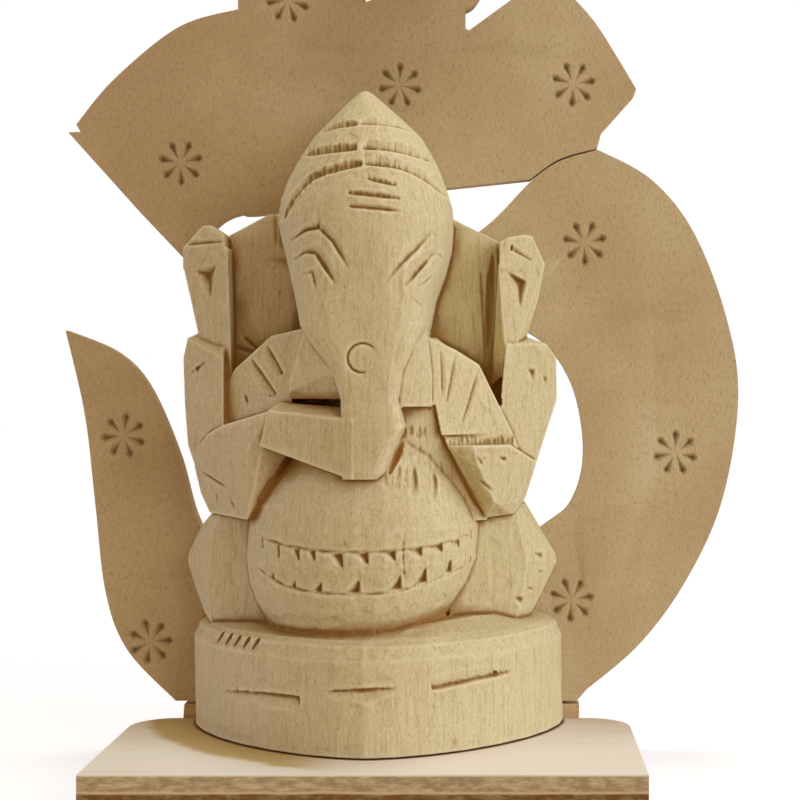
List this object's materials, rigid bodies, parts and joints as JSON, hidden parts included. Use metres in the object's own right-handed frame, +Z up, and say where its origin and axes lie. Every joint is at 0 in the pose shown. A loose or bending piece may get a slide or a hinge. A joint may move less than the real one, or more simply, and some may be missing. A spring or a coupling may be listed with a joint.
{
  "type": "ganesha carving",
  "caption": "Chip-carved seated wooden Ganesha with plinth on a plywood board, before a sawn wood panel in the outline of an Om with gouged flowers.",
  "frame": {"origin": "centre of the base board's underside", "axes": "+Z up, -Y towards the viewer in front, +X to that viewer's right"},
  "size_m": [0.2067, 0.0783, 0.258],
  "materials": {
    "plywood": "sanded, unfinished",
    "rail": "sawn, unfinished",
    "panel_board": "matt, unfinished",
    "carved_wood": "knife-cut, unfinished"
  },
  "bodies": {
    "root": {"base_board": "plywood", "back_rail": "rail", "om_panel_lower": "panel_board", "om_panel_upper": "panel_board", "ganesha_figure": "carved_wood"}
  },
  "joints": []
}
